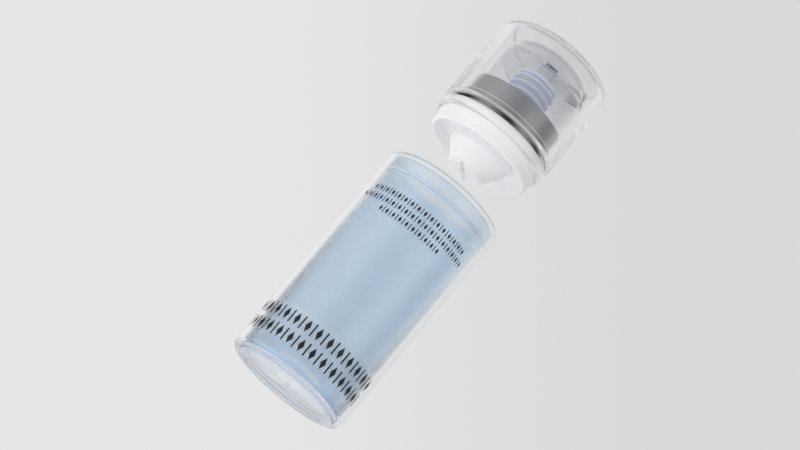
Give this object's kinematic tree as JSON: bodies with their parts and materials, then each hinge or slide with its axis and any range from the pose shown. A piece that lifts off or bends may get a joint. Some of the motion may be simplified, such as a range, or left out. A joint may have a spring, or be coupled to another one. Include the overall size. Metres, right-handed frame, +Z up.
{
  "type": "airless pump bottle",
  "caption": "Clear airless bottle with a blue liner and follower piston; its pump head, with bellows, side nozzle and clear overcap, is lifted out of the mouth.",
  "frame": {"origin": "centre of the foot, on the surface that the bottle stands on", "axes": "+Z up along the bottle's axis, +X towards the nozzle's mouth, +Y to the left of it"},
  "size_m": [0.0442, 0.0442, 0.1428],
  "materials": {
    "clear_bottle": "polished clear moulded plastic",
    "blue_liner": "translucent pale blue, smooth",
    "pale_disc": "translucent pale, satin",
    "follower": "translucent milky, satin",
    "gasket": "soft milky elastomer",
    "white_collar": "white gloss moulded plastic",
    "clear_ring": "polished clear moulded plastic",
    "bright_metal": "polished bright metal",
    "sleeve_metal": "drawn and anodised, satin bright",
    "white_pump": "white moulded plastic",
    "piston_plastic": "soft milky moulded plastic",
    "clear_stem": "translucent natural moulded plastic",
    "blue_bellows": "translucent pale blue moulded plastic",
    "clear_actuator": "clear moulded plastic",
    "clear_cap": "polished clear moulded plastic"
  },
  "bodies": {
    "bottle": {"outer_bottle": "clear_bottle", "inner_liner": "blue_liner", "base_disc": "pale_disc", "neck_gasket": "gasket"},
    "follower": {"follower_piston": "follower"},
    "pump_head": {"collar": "white_collar", "shoulder_ring": "clear_ring", "trim_band": "bright_metal", "metal_sleeve": "sleeve_metal", "pump_housing": "white_pump", "inlet_cage": "white_pump", "stem_guide": "white_pump", "bellows_spring": "blue_bellows"},
    "inlet_valve_body": {"inlet_valve": "white_pump"},
    "actuator_body": {"actuator": "clear_actuator", "nozzle_insert": "clear_actuator", "stem": "clear_stem", "chamber_piston": "piston_plastic"},
    "outlet_valve_body": {"outlet_valve": "piston_plastic"},
    "overcap_body": {"overcap": "clear_cap"}
  },
  "joints": [
    {"name": "head_lift", "type": "slide", "parent": "bottle", "child": "pump_head", "axis": [0, 0, 1], "range_m": [-0.0231, 0.015]},
    {"name": "follower_rise", "type": "slide", "parent": "bottle", "child": "follower", "axis": [0, 0, 1], "range_m": [-0.0045, 0.055]},
    {"name": "overcap_pull", "type": "slide", "parent": "pump_head", "child": "overcap_body", "axis": [0, 0, 1], "range_m": [0, 0.036]},
    {"name": "actuator_press", "type": "slide", "parent": "pump_head", "child": "actuator_body", "axis": [0, 0, -1], "range_m": [0, 0.004], "stiffness_N_per_m": 3000, "springref_m": -0.001, "deforming": ["bellows_spring"]},
    {"name": "inlet_valve_lift", "type": "slide", "parent": "pump_head", "child": "inlet_valve_body", "axis": [0, 0, 1], "range_m": [0, 0.0008]},
    {"name": "outlet_valve_lift", "type": "slide", "parent": "actuator_body", "child": "outlet_valve_body", "axis": [0, 0, 1], "range_m": [0, 0.0008]}
  ]
}
